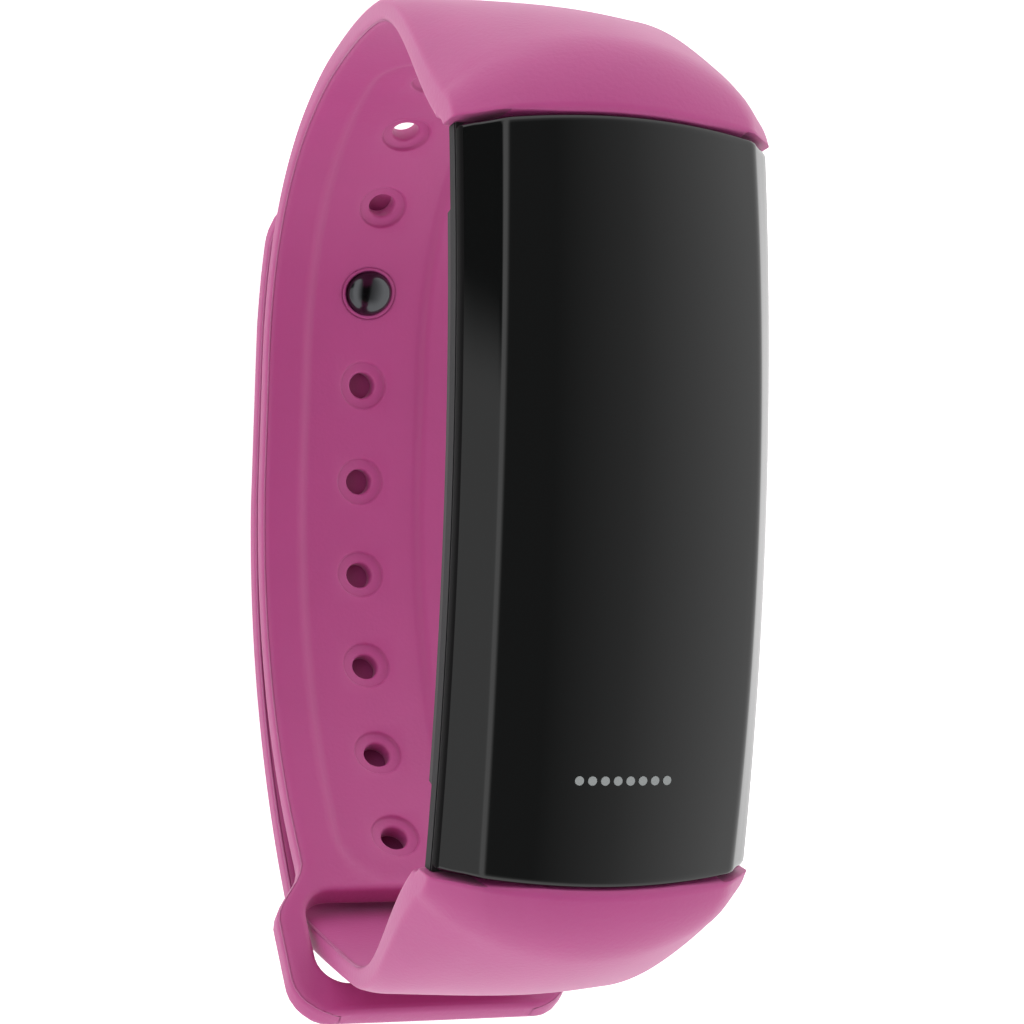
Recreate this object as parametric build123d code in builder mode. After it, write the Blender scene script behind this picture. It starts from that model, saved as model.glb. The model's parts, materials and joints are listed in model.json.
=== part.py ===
"""Fitness tracker band, in millimetres: a slim curved module on a soft strap closed by a ring and a stud.

The band rests on the back of its loop. +Z points out of the display, X runs across the strap, and Y runs along
the module. The origin is the middle of the short flat on the outer face of the tail.
"""

import os
from math import asin, cos, degrees, pi, radians, sin

from build123d import *

# Module
LENS_HALF_LENGTH = 22.7
LENS_HALF_WIDTH = 10.05
LENS_FLAT_HALF = 8.1
LENS_CROWN = 1.05
LENS_EDGE_DROP = 3.35
LENS_RIM = 4.3
LENS_WALL = 1.2
ARCH_RADIUS = 152.0
MODULE_HEIGHT = 11.0
FRAME_BOTTOM = 5.6
CASE_HALF_LENGTH = 17.9
CASE_WALL = 1.1
GASKET = 0.15

# Strap
STRAP_THICKNESS = 1.9
TAIL_THICKNESS = 1.8
TAIL_GAP = 0.1
STRAP_HALF_WIDTH = 7.7
SHOULDER_HALF_WIDTH = 10.4
SHOULDER_THICKNESS = 5.5
SHOULDER_DROP = 3.4
SHOULDER_SWELL = 0.9
SEAM_GAP = 0.12
UPPER_NARROW_END = 46.0
LOWER_NARROW_END = 36.0

# Loop: each leg is a turn in degrees and a radius, or no turn and a length
UPPER_SHOULDER = [(55.1, 7.2), (40.5, 45.5)]
CORNER_TURN = 62.4
CORNER_RADIUS = 20.1
BACK_RADIUS = 26.0
REST_LENGTH = 8.0
REST_CUT = 0.5
RISE_TURN = 43.0
RISE_RADIUS = 40.1
LOWER_SHOULDER = [(54.0, 6.6)]
LOWER_SIDE_TURN = 24.1
LOWER_FLANK = (14.7, 69.5)
LOWER_BEND = (37.7, 5.0)
TAIL_LIFT_TURN = 17.7
TAIL_BACK_RADIUS = 44.9

# Holes, groove and clasp
HOLE_COUNT = 10
HOLE_PITCH = 7.38
FIRST_HOLE = 39.1
LATCHED_HOLE = 3
HOLE_DIAMETER = 1.95
HOLE_RECESS_DIAMETER = 3.6
HOLE_RECESS_DEPTH = 0.3
LATCH_OPENING = 4.2
GROOVE_HALF_WIDTH = 4.6
GROOVE_DEPTH = 0.3
STUD_HEAD_DIAMETER = 3.5
STUD_HEAD_HEIGHT = 1.1
STUD_NECK_DIAMETER = 1.6
CAP_DIAMETER = 3.4
CAP_DEPTH = 0.5
TIP_LENGTH = 8.4
TIP_ROUND = 5.5
HINGE_GAP = 0.1
RING_OPENING_HALF = STRAP_HALF_WIDTH + 0.4
RING_HALF_WIDTH = RING_OPENING_HALF + 2.1
RING_OPENING_START = 5.2
RING_OPENING_END = 12.8
RING_END = 15.2
RING_ROUND = 3.0
RING_OPENING_ROUND = 2.2
RING_FLARE = (1.0, 3.5, 7.0)

# Inner parts
FIT = 0.05
BATTERY_SIZE = (13.0, 20.0, 3.0)
BOARD_THICKNESS = 0.7
BOARD_TOP = 5.4
DISPLAY_SIZE = (13.8, 29.0, 1.2)
DISPLAY_TOP = 3.15
WINDOW_DIAMETER = 8.0
MOTOR_DIAMETER = 8.0
MOTOR_Y = 10.8
PIN_DIAMETER = 1.3
PIN_ARC = 20.0
PIN_DROP = 1.25
TONGUE_WIDTH = 16.8
TONGUE_DEPTH = 2.5
HEEL_LENGTH = 1.5
KNUCKLE_X = 4.5
KNUCKLE_WIDTH = 3.0
TOUCH_KEY_Y = -16.3
DOT_HEIGHT = 0.05
DOT_COUNT = 8
DOT_DIAMETER = 0.54
DOT_PITCH = 0.8

SEAM_SLOPE = degrees(asin(LENS_HALF_LENGTH / ARCH_RADIUS))
LENS_ARC = radians(SEAM_SLOPE) * ARCH_RADIUS
BACK_TURN = 180 - SEAM_SLOPE - sum(turn for turn, _ in UPPER_SHOULDER) - CORNER_TURN
UPPER_LEGS = UPPER_SHOULDER + [
    (CORNER_TURN, CORNER_RADIUS),
    (BACK_TURN, BACK_RADIUS),
    (0, REST_LENGTH),
    (RISE_TURN, RISE_RADIUS),
    (0, RING_END),
]
SEAM_DROP = ARCH_RADIUS - (ARCH_RADIUS**2 - LENS_HALF_LENGTH**2) ** 0.5


def reach(heading, turn, radius):
    """Advance in Y, fall in Z and new heading after one leg that starts at a heading."""
    if turn == 0:
        return radius * cos(radians(heading)), -radius * sin(radians(heading)), heading
    start, end = radians(heading), radians(heading + turn)
    return radius * (sin(end) - sin(start)), radius * (cos(end) - cos(start)), heading + turn


def leg_length(leg):
    """Length of one leg."""
    turn, size = leg
    return size if turn == 0 else radians(turn) * size


def station(legs, distance):
    """Distance out from the module's middle, height under its top and heading, at a distance from the seam."""
    y, z, heading = LENS_HALF_LENGTH, -SEAM_DROP, SEAM_SLOPE
    for leg in legs:
        share = min(1.0, max(0.0, distance / leg_length(leg)))
        turn, size = leg
        part_leg = (0, size * share) if turn == 0 else (turn * share, size)
        dy, dz, heading = reach(heading, *part_leg)
        y, z, distance = y + dy, z + dz, distance - leg_length(leg)
        if distance <= 0:
            break
    return y, z, heading


# The tail lies under the upper strap from the rest on, so its lower end of the flat is known.
FLAT_START = sum(leg_length(leg) for leg in UPPER_LEGS[: len(UPPER_SHOULDER) + 2])
FLAT_Y, FLAT_Z, _ = station(UPPER_LEGS, FLAT_START)
TAIL_OFFSET = TAIL_THICKNESS + TAIL_GAP
MODULE_Y = -(FLAT_Y - REST_LENGTH / 2)
TOP_Z = TAIL_OFFSET - REST_CUT - FLAT_Z


def lower_chain():
    """Legs of the lower strap and tail, with two radii worked out so that it arrives at the flat."""
    heading, y, z = SEAM_SLOPE, LENS_HALF_LENGTH, -SEAM_DROP
    for leg in LOWER_SHOULDER:
        dy, dz, heading = reach(heading, *leg)
        y, z = y + dy, z + dz
    side = reach(heading, LOWER_SIDE_TURN, 1.0)
    flank = reach(side[2], *LOWER_FLANK)
    bend = reach(flank[2], *LOWER_BEND)
    lift = reach(bend[2], TAIL_LIFT_TURN, 1.0)
    back_turn = 180 - lift[2]
    back = reach(lift[2], back_turn, TAIL_BACK_RADIUS)
    want_y = -(FLAT_Y - REST_LENGTH) - y - flank[0] - bend[0] - back[0]
    want_z = FLAT_Z - TAIL_OFFSET - z - flank[1] - bend[1] - back[1]
    size = side[0] * lift[1] - side[1] * lift[0]
    side_radius = (want_y * lift[1] - want_z * lift[0]) / size
    lift_radius = (side[0] * want_z - side[1] * want_y) / size
    base = LOWER_SHOULDER + [(LOWER_SIDE_TURN, side_radius), LOWER_FLANK, LOWER_BEND]
    tail = [(TAIL_LIFT_TURN, lift_radius), (back_turn, TAIL_BACK_RADIUS), (0, REST_LENGTH)]
    tail += [(BACK_TURN, BACK_RADIUS + TAIL_OFFSET), (CORNER_TURN, CORNER_RADIUS + TAIL_OFFSET)]
    return base, tail


BASE_LEGS, TAIL_LEGS = lower_chain()
LOWER_LEGS = BASE_LEGS + TAIL_LEGS
BASE_LENGTH = sum(leg_length(leg) for leg in BASE_LEGS)


def section_plane(side, legs, distance):
    """Plane across the strap: its x runs across, its y points out of the loop. side is 1 at the top end."""
    y, z, heading = station(legs, distance)
    toward = (0, -cos(radians(heading)), side * sin(radians(heading)))
    return Plane(origin=(0, side * y + MODULE_Y, z + TOP_Z), x_dir=(1, 0, 0), z_dir=toward)


def arch_plane(distance):
    """Plane across the module at a distance along its arch from the middle."""
    angle = distance / ARCH_RADIUS
    place = (0, MODULE_Y + ARCH_RADIUS * sin(angle), TOP_Z - ARCH_RADIUS * (1 - cos(angle)))
    return Plane(origin=place, x_dir=(1, 0, 0), z_dir=(0, -cos(angle), sin(angle)))


ARCH_AXIS = Axis((0, MODULE_Y, TOP_Z - ARCH_RADIUS), (-1, 0, 0))
MODULE = Plane(origin=(0, MODULE_Y, TOP_Z))


def arch_sweep(half_length, mode=Mode.ADD):
    """Carry the pending section along the module's arch for twice the half length."""
    revolve(axis=ARCH_AXIS, revolution_arc=degrees(2 * half_length / ARCH_RADIUS), mode=mode)


def half_outline(points):
    """Close an outline given by its right half, from the middle of its top to the middle of its bottom."""
    Polyline(*points)
    mirror(about=Plane.YZ)


def fade(distance, start, end):
    """Falls smoothly from 1 at start to 0 at end."""
    share = min(1.0, max(0.0, (distance - start) / (end - start)))
    return 0.5 + 0.5 * cos(pi * share)


def strap_section(plane, distance, slim=STRAP_THICKNESS, trim=0.0, narrow_end=UPPER_NARROW_END):
    """Cross-section of a strap: a crown, a soft bevel on each side, upright edges and an undercut below."""
    half = -trim + STRAP_HALF_WIDTH + (SHOULDER_HALF_WIDTH - STRAP_HALF_WIDTH) * fade(distance, 6, narrow_end)
    bulge = fade(distance, 5, 26)
    swell = SHOULDER_SWELL * min(1.0, distance / 6)
    edge_drop = 0.25 + (SHOULDER_DROP + swell - 0.25) * bulge
    crown = 0.04 + (LENS_CROWN + swell - 0.04) * bulge
    flat_half = -trim + LENS_FLAT_HALF + (STRAP_HALF_WIDTH - 0.3 - LENS_FLAT_HALF) * (1 - fade(distance, 10, 46))
    thickness = slim + (SHOULDER_THICKNESS - slim) * fade(distance, 0, 24)
    side = 1.25 + 0.6 * bulge
    foot_half = half - 0.3 - 1.5 * bulge
    bottom = max(thickness - 0.05, edge_drop + side + 0.22)
    with BuildSketch(plane) as section:
        with BuildLine():
            ThreePointArc((-flat_half, -crown), (0, 0), (flat_half, -crown))
            Line((flat_half, -crown), (half, -edge_drop))
            Line((half, -edge_drop), (half, -edge_drop - side))
            Line((half, -edge_drop - side), (foot_half, -bottom))
            ThreePointArc((foot_half, -bottom), (0, -thickness), (-foot_half, -bottom))
            Line((-foot_half, -bottom), (-half, -edge_drop - side))
            Line((-half, -edge_drop - side), (-half, -edge_drop))
            Line((-half, -edge_drop), (-flat_half, -crown))
        make_face()
    return section.sketch


def face_plane(distance, depth=0.0):
    """Plane on the upper strap, a depth under its outer face, whose normal points out of the loop."""
    y, z, heading = station(UPPER_LEGS, distance)
    out = (0, sin(radians(heading)), cos(radians(heading)))
    return Plane(origin=(0, y + MODULE_Y, z + TOP_Z), x_dir=(1, 0, 0), z_dir=out).offset(-depth)


def tail_distance(distance):
    """Distance along the lower strap of the place that lies under the upper strap at a distance."""
    turned = 180 - station(UPPER_LEGS, distance)[2]
    flat_end = BASE_LENGTH + sum(leg_length(leg) for leg in TAIL_LEGS[:3])
    back, corner = TAIL_LEGS[3][1], TAIL_LEGS[4][1]
    return flat_end + radians(min(turned, BACK_TURN)) * back + radians(max(0, turned - BACK_TURN)) * corner


def spread(start, end, step):
    """Evenly spaced distances from start to end, about a step apart."""
    count = max(1, round((end - start) / step))
    return [start + (end - start) * i / count for i in range(count + 1)]


LATCH_AT = FIRST_HOLE + LATCHED_HOLE * HOLE_PITCH
STRAIGHT_START = sum(leg_length(leg) for leg in UPPER_LEGS[:-1])
TAIL_END = tail_distance(LATCH_AT) + TIP_LENGTH
GROOVE_START = FIRST_HOLE - GROOVE_HALF_WIDTH
GROOVE_END = FIRST_HOLE + (HOLE_COUNT - 1) * HOLE_PITCH

os.makedirs("parts", exist_ok=True)

# ---- Module shell ----

with BuildPart() as lens:
    with BuildSketch(arch_plane(-LENS_ARC)):
        with BuildLine():
            ThreePointArc((-LENS_FLAT_HALF, -LENS_CROWN), (0, 0), (LENS_FLAT_HALF, -LENS_CROWN))
            Polyline(
                (LENS_FLAT_HALF, -LENS_CROWN),
                (LENS_HALF_WIDTH, -LENS_EDGE_DROP),
                (LENS_HALF_WIDTH, -LENS_RIM),
                (LENS_HALF_WIDTH - LENS_WALL, -LENS_RIM),
                (LENS_HALF_WIDTH - LENS_WALL, -LENS_RIM + 0.3),
                (LENS_FLAT_HALF - 0.7, -LENS_CROWN - LENS_WALL),
            )
            ThreePointArc(
                (LENS_FLAT_HALF - 0.7, -LENS_CROWN - LENS_WALL),
                (0, -LENS_WALL),
                (0.7 - LENS_FLAT_HALF, -LENS_CROWN - LENS_WALL),
            )
            Polyline(
                (0.7 - LENS_FLAT_HALF, -LENS_CROWN - LENS_WALL),
                (LENS_WALL - LENS_HALF_WIDTH, -LENS_RIM + 0.3),
                (LENS_WALL - LENS_HALF_WIDTH, -LENS_RIM),
                (-LENS_HALF_WIDTH, -LENS_RIM),
                (-LENS_HALF_WIDTH, -LENS_EDGE_DROP),
                (-LENS_FLAT_HALF, -LENS_CROWN),
            )
        make_face()
    arch_sweep(LENS_ARC)
lens.part.label = "lens"
export_step(lens.part, "parts/lens.step")

with BuildPart() as lens_gasket:
    with BuildSketch(arch_plane(-LENS_ARC + 0.05)):
        with Locations((0, -LENS_RIM - GASKET / 2)):
            Rectangle(2 * LENS_HALF_WIDTH - 0.3, GASKET)
    arch_sweep(LENS_ARC - 0.05)
    with BuildSketch(arch_plane(-LENS_ARC + 1.1)):
        with Locations((0, -LENS_RIM)):
            Rectangle(2 * (LENS_HALF_WIDTH - LENS_WALL), 1)
    arch_sweep(LENS_ARC - 1.1, mode=Mode.SUBTRACT)
lens_gasket.part.label = "lens_gasket"
export_step(lens_gasket.part, "parts/lens_gasket.step")

with BuildPart() as frame:
    with BuildSketch(arch_plane(-LENS_ARC + 0.05)):
        with BuildLine():
            half_outline(
                [
                    (0, -LENS_RIM - GASKET),
                    (LENS_HALF_WIDTH - 0.1, -LENS_RIM - GASKET),
                    (LENS_HALF_WIDTH - 0.1, -FRAME_BOTTOM + 0.3),
                    (LENS_HALF_WIDTH - 0.4, -FRAME_BOTTOM),
                    (0, -FRAME_BOTTOM),
                ]
            )
        make_face()
    arch_sweep(LENS_ARC - 0.05)
    with BuildSketch(arch_plane(-LENS_ARC + 1.5)):
        with Locations((0, -FRAME_BOTTOM)):
            Rectangle(2 * (LENS_HALF_WIDTH - LENS_WALL - 0.3), 4)
    arch_sweep(LENS_ARC - 1.5, mode=Mode.SUBTRACT)
frame.part.label = "frame"
export_step(frame.part, "parts/frame.step")


def case_outline(inset):
    """Half outline of the case bottom's section, tapering down to the wrist, an inset inside the outer face."""
    top = -FRAME_BOTTOM - FIT
    return [
        (0, top),
        (LENS_HALF_WIDTH - 0.4 - inset, top),
        (9.25 - inset, -7.6),
        (8.2 - inset, -10.0 + 0.4 * inset),
        (7.2 - 0.4 * inset, -MODULE_HEIGHT + inset),
        (0, -MODULE_HEIGHT + inset),
    ]


with BuildPart() as case_bottom:
    with BuildSketch(arch_plane(-CASE_HALF_LENGTH)):
        with BuildLine():
            half_outline(case_outline(0))
        make_face()
    arch_sweep(CASE_HALF_LENGTH)
    fillet(case_bottom.edges().filter_by(GeomType.CIRCLE).group_by(Axis.Z)[0], 0.8)
    for side in (-1, 1):
        for x in (-KNUCKLE_X, KNUCKLE_X):
            with BuildSketch(arch_plane(CASE_HALF_LENGTH - 0.5 if side > 0 else -LENS_ARC + 0.6)):
                with Locations((x, -FRAME_BOTTOM - PIN_DROP)):
                    Rectangle(KNUCKLE_WIDTH, 2.2)
            revolve(axis=ARCH_AXIS, revolution_arc=degrees((LENS_ARC - CASE_HALF_LENGTH - 0.1) / ARCH_RADIUS))
    with BuildSketch(arch_plane(-CASE_HALF_LENGTH + CASE_WALL)):
        with BuildLine():
            half_outline(case_outline(CASE_WALL))
        make_face()
    arch_sweep(CASE_HALF_LENGTH - CASE_WALL, mode=Mode.SUBTRACT)
    with BuildSketch(MODULE.offset(-MODULE_HEIGHT - 1)):
        Circle(WINDOW_DIAMETER / 2 + FIT)
        with Locations((-3, -12.5), (3, -12.5)):
            Circle(1.0 + FIT)
    extrude(amount=3, mode=Mode.SUBTRACT)
    for side in (-1, 1):
        with BuildSketch(Plane.YZ.offset(-KNUCKLE_X - KNUCKLE_WIDTH)):
            with Locations(tuple(arch_plane(side * PIN_ARC).from_local_coords((0, -FRAME_BOTTOM - PIN_DROP, 0)))[1:]):
                Circle((PIN_DIAMETER + FIT) / 2)
        extrude(amount=2 * (KNUCKLE_X + KNUCKLE_WIDTH), mode=Mode.SUBTRACT)
case_bottom.part.label = "case_bottom"
export_step(case_bottom.part, "parts/case_bottom.step")

# ---- Straps ----


def cut_pin_seat(side):
    """Knuckle slots and the pin hole, cut through a strap's tongue under the frame."""
    start = CASE_HALF_LENGTH if side > 0 else -LENS_ARC + 0.4
    for x in (-KNUCKLE_X, KNUCKLE_X):
        with BuildSketch(arch_plane(start)) as slot:
            with Locations((x, -FRAME_BOTTOM - PIN_DROP)):
                Rectangle(KNUCKLE_WIDTH + 0.3, 3.2)
        revolve(
            slot.sketch,
            axis=ARCH_AXIS,
            revolution_arc=degrees((LENS_ARC - CASE_HALF_LENGTH - 0.4) / ARCH_RADIUS),
            mode=Mode.SUBTRACT,
        )
    with BuildSketch(Plane.YZ.offset(-9)) as pin_hole:
        with Locations(tuple(arch_plane(side * PIN_ARC).from_local_coords((0, -FRAME_BOTTOM - PIN_DROP, 0)))[1:]):
            Circle((PIN_DIAMETER + FIT) / 2)
    extrude(pin_hole.sketch, amount=18, mode=Mode.SUBTRACT)


def add_tongue(side):
    """Tongue under the frame and the heel that joins it to the strap."""
    inner = CASE_HALF_LENGTH + 0.1
    for start, top in ((inner, FRAME_BOTTOM + FIT), (LENS_ARC + SEAM_GAP, LENS_RIM + 0.2)):
        length = LENS_ARC + HEEL_LENGTH - start
        with BuildSketch(arch_plane(start if side > 0 else -start - length)) as block:
            with Locations((0, -(top + FRAME_BOTTOM + TONGUE_DEPTH) / 2)):
                Rectangle(TONGUE_WIDTH, FRAME_BOTTOM + TONGUE_DEPTH - top)
        revolve(block.sketch, axis=ARCH_AXIS, revolution_arc=degrees(length / ARCH_RADIUS))


def bore(distance, diameter, depth_from, depth_to, mode=Mode.SUBTRACT):
    """Round cut or boss along the normal of the upper strap, between two depths under its outer face."""
    with BuildSketch(face_plane(distance, depth_from)) as disc:
        Circle(diameter / 2)
    extrude(disc.sketch, amount=depth_from - depth_to, mode=mode)


SHOULDER_STATIONS = [SEAM_GAP, 2.5, 5.0, 7.5, 10.0, 13.0, 16.5, 20.0, 24.0, 28.0]
HOLE_AT = [FIRST_HOLE + i * HOLE_PITCH for i in range(HOLE_COUNT)]

upper_stations = SHOULDER_STATIONS + spread(33.0, STRAIGHT_START + 3, 5.0)
upper_sections = [strap_section(section_plane(1, UPPER_LEGS, d), d) for d in upper_stations]
with BuildPart() as upper_strap:
    loft(sections=upper_sections)
    with BuildSketch(face_plane(STRAIGHT_START)) as ring_plate:
        with BuildLine():
            half_outline(
                [
                    (0, RING_FLARE[0]),
                    (STRAP_HALF_WIDTH, RING_FLARE[0]),
                    (STRAP_HALF_WIDTH, RING_FLARE[1]),
                    (RING_HALF_WIDTH, RING_FLARE[2]),
                    (RING_HALF_WIDTH, RING_END),
                    (0, RING_END),
                ]
            )
        make_face()
        end_corners = ring_plate.vertices().group_by(Axis.Y)[-1].sort_by(Axis.X)
        fillet([end_corners[0], end_corners[-1]], RING_ROUND)
    extrude(amount=-STRAP_THICKNESS)
    with BuildSketch(face_plane(STRAIGHT_START, STRAP_THICKNESS / 2)):
        with Locations((0, (RING_OPENING_START + RING_OPENING_END) / 2)):
            RectangleRounded(2 * RING_OPENING_HALF, RING_OPENING_END - RING_OPENING_START, RING_OPENING_ROUND)
    extrude(amount=3, both=True, mode=Mode.SUBTRACT)
    add_tongue(1)
    cut_pin_seat(1)
    with BuildSketch(Plane.YZ) as groove:
        with BuildLine():
            near = [face_plane(d, STRAP_THICKNESS - GROOVE_DEPTH).origin for d in spread(GROOVE_START, GROOVE_END, 3.0)]
            far = [face_plane(d, STRAP_THICKNESS + 1).origin for d in spread(GROOVE_START, GROOVE_END, 3.0)]
            near, far = ([(p.Y, p.Z) for p in line] for line in (near, far))
            Spline(*near)
            Line(near[-1], far[-1])
            Spline(*far[::-1])
            Line(far[0], near[0])
        make_face()
    extrude(amount=GROOVE_HALF_WIDTH, both=True, mode=Mode.SUBTRACT)
    for end in (GROOVE_START, GROOVE_END):
        bore(end, 2 * GROOVE_HALF_WIDTH, STRAP_THICKNESS - GROOVE_DEPTH, STRAP_THICKNESS + 1)
    for at in HOLE_AT:
        wide = LATCH_OPENING if at == LATCH_AT else HOLE_DIAMETER
        bore(at, wide, -1, STRAP_THICKNESS + 1)
        recess = max(wide, HOLE_RECESS_DIAMETER)
        bore(at, recess, STRAP_THICKNESS - GROOVE_DEPTH - HOLE_RECESS_DEPTH, STRAP_THICKNESS + 1)
upper_strap.part.label = "upper_strap"
export_step(upper_strap.part, "parts/upper_strap.step")

LIP_DEPTH = STRAP_THICKNESS - GROOVE_DEPTH - HOLE_RECESS_DEPTH
with BuildPart() as latch_lip:
    bore(LATCH_AT, LATCH_OPENING - 0.1, 0.1, LIP_DEPTH, mode=Mode.ADD)
    bore(LATCH_AT, STUD_NECK_DIAMETER + 0.2, 0, LIP_DEPTH + 1)
latch_lip.part.label = "latch_lip"
export_step(latch_lip.part, "parts/latch_lip.step")

base_stations = SHOULDER_STATIONS + spread(31.0, BASE_LENGTH - HINGE_GAP, 2.5)
base_sections = [
    strap_section(section_plane(-1, LOWER_LEGS, d), d, TAIL_THICKNESS, narrow_end=LOWER_NARROW_END)
    for d in base_stations
]
with BuildPart() as lower_strap:
    loft(sections=base_sections)
    add_tongue(-1)
    cut_pin_seat(-1)
lower_strap.part.label = "lower_strap"
export_step(lower_strap.part, "parts/lower_strap.step")


def tip_trim(distance):
    """How much the tail narrows on each side toward its rounded tip."""
    past = max(0.0, distance - (TAIL_END - TIP_ROUND))
    return TIP_ROUND - (TIP_ROUND**2 - past**2) ** 0.5


tail_stations = spread(BASE_LENGTH + HINGE_GAP, TAIL_END - TIP_ROUND, 3.0)
tail_stations += [TAIL_END - TIP_ROUND * (1 - sin(radians(turn))) for turn in (25, 45, 60, 75, 86)]
tail_sections = [
    strap_section(section_plane(-1, LOWER_LEGS, d), d, TAIL_THICKNESS, tip_trim(d)) for d in tail_stations
]
with BuildPart() as strap_tail:
    loft(sections=tail_sections)
    bore(LATCH_AT, STUD_NECK_DIAMETER, -TAIL_OFFSET - 1, 1)
    bore(LATCH_AT, CAP_DIAMETER + FIT, -TAIL_OFFSET - 1, -TAIL_OFFSET + CAP_DEPTH)
    split(bisect_by=Plane.XY, keep=Keep.TOP)
strap_tail.part.label = "strap_tail"
export_step(strap_tail.part, "parts/strap_tail.step")

with BuildPart() as stud:
    bore(LATCH_AT, STUD_NECK_DIAMETER, -TAIL_OFFSET + CAP_DEPTH, LIP_DEPTH + 0.2, mode=Mode.ADD)
    bore(LATCH_AT, STUD_HEAD_DIAMETER, LIP_DEPTH + 0.1, LIP_DEPTH + 0.1 + STUD_HEAD_HEIGHT, mode=Mode.ADD)
    crown_edge = stud.edges().filter_by(GeomType.CIRCLE).sort_by_distance(face_plane(LATCH_AT, 20).origin)[0]
    fillet(crown_edge, STUD_HEAD_HEIGHT * 0.85)
stud.part.label = "stud"
export_step(stud.part, "parts/stud.step")

with BuildPart() as stud_cap:
    bore(LATCH_AT, CAP_DIAMETER, -TAIL_OFFSET + 0.02, -TAIL_OFFSET + CAP_DEPTH, mode=Mode.ADD)
stud_cap.part.label = "stud_cap"
export_step(stud_cap.part, "parts/stud_cap.step")

for side, name in ((1, "cross_pin_upper"), (-1, "cross_pin_lower")):
    with BuildPart() as cross_pin:
        with BuildSketch(Plane.YZ.offset(-8.2)):
            with Locations(tuple(arch_plane(side * PIN_ARC).from_local_coords((0, -FRAME_BOTTOM - PIN_DROP, 0)))[1:]):
                Circle(PIN_DIAMETER / 2)
        extrude(amount=16.4)
        chamfer(cross_pin.edges(), 0.15)
    cross_pin.part.label = name
    export_step(cross_pin.part, f"parts/{name}.step")

# ---- Inner parts ----

WINDOW_TOP = MODULE_HEIGHT - 0.9
with BuildPart() as sensor_window:
    with BuildSketch(MODULE.offset(-MODULE_HEIGHT - 0.7)):
        Circle(WINDOW_DIAMETER / 2)
    extrude(amount=0.7 + MODULE_HEIGHT - WINDOW_TOP)
    fillet(sensor_window.edges().group_by(Axis.Z)[0], 0.4)
    with BuildSketch(MODULE.offset(-MODULE_HEIGHT + 0.1)):
        Circle(WINDOW_DIAMETER / 2 - 0.5)
    extrude(amount=2, mode=Mode.SUBTRACT)
sensor_window.part.label = "sensor_window"
export_step(sensor_window.part, "parts/sensor_window.step")

with BuildPart() as sensor_board:
    with BuildSketch(MODULE.offset(-WINDOW_TOP - 0.1)):
        Circle(WINDOW_DIAMETER / 2 - 0.55)
    extrude(amount=0.35)
sensor_board.part.label = "sensor_board"
export_step(sensor_board.part, "parts/sensor_board.step")

for name, y, size in (("led_1", 2.1, 1.2), ("led_2", -2.1, 1.2), ("photodiode", 0, 2.0)):
    with BuildPart() as chip:
        with BuildSketch(MODULE.offset(-WINDOW_TOP - 0.75)):
            with Locations((0, y)):
                Rectangle(size, size)
        extrude(amount=0.65)
    chip.part.label = name
    export_step(chip.part, f"parts/{name}.step")

for name, x in (("charge_contact_1", -3), ("charge_contact_2", 3)):
    with BuildPart() as contact:
        with BuildSketch(MODULE.offset(-MODULE_HEIGHT - 0.65)):
            with Locations((x, -12.5)):
                Circle(1.0)
        extrude(amount=1.9)
        fillet(contact.edges().group_by(Axis.Z)[0], 0.2)
    contact.part.label = name
    export_step(contact.part, f"parts/{name}.step")

with BuildPart() as battery:
    with BuildSketch(MODULE.offset(-9.4)):
        with Locations((0, -5.0)):
            RectangleRounded(BATTERY_SIZE[0], BATTERY_SIZE[1], 1.0)
    extrude(amount=BATTERY_SIZE[2])
    fillet(battery.edges().filter_by(Plane.XY), 0.4)
battery.part.label = "battery"
export_step(battery.part, "parts/battery.step")

with BuildPart() as circuit_board:
    with BuildSketch(MODULE.offset(-BOARD_TOP - BOARD_THICKNESS)):
        RectangleRounded(15.4, 31.0, 1.0)
        with Locations((-7.7, -6), (7.7, -6), (-7.7, 9), (7.7, 9)):
            Circle(0.9, mode=Mode.SUBTRACT)
    extrude(amount=BOARD_THICKNESS)
circuit_board.part.label = "circuit_board"
export_step(circuit_board.part, "parts/circuit_board.step")

CHIPS = (("processor", 0, 2, 5.0), ("memory", -4.5, 10, 3.0), ("motion_sensor", 4, 10.5, 2.0), ("radio", 0, -9, 4.0))
for name, x, y, size in CHIPS:
    with BuildPart() as chip:
        with BuildSketch(MODULE.offset(-BOARD_TOP)):
            with Locations((x, y)):
                Rectangle(size, size)
        extrude(amount=0.75)
        chamfer(chip.edges().group_by(Axis.Z)[-1], 0.08)
    chip.part.label = name
    export_step(chip.part, f"parts/{name}.step")

with BuildPart() as antenna:
    with BuildSketch(MODULE.offset(-BOARD_TOP)):
        with Locations((0, 14.4)):
            Rectangle(9, 1.2)
    extrude(amount=0.6)
antenna.part.label = "antenna"
export_step(antenna.part, "parts/antenna.step")

with BuildPart() as display:
    with BuildSketch(MODULE.offset(-DISPLAY_TOP - DISPLAY_SIZE[2])):
        Rectangle(DISPLAY_SIZE[0], DISPLAY_SIZE[1])
    extrude(amount=DISPLAY_SIZE[2])
display.part.label = "display"
export_step(display.part, "parts/display.step")

with BuildPart() as display_flex:
    with BuildSketch(Plane.YZ.offset(-2.5)):
        with BuildLine():
            edge = MODULE_Y - DISPLAY_SIZE[1] / 2
            level = TOP_Z - DISPLAY_TOP - DISPLAY_SIZE[2]
            board = TOP_Z - BOARD_TOP
            Polyline(
                (edge + 3, level),
                (edge - 1.2, level),
                (edge - 1.2, board),
                (edge + 1.0, board),
                (edge + 1.0, board + 0.12),
                (edge - 1.08, board + 0.12),
                (edge - 1.08, level - 0.12),
                (edge + 3, level - 0.12),
                close=True,
            )
        make_face()
    extrude(amount=5)
display_flex.part.label = "display_flex"
export_step(display_flex.part, "parts/display_flex.step")

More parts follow.
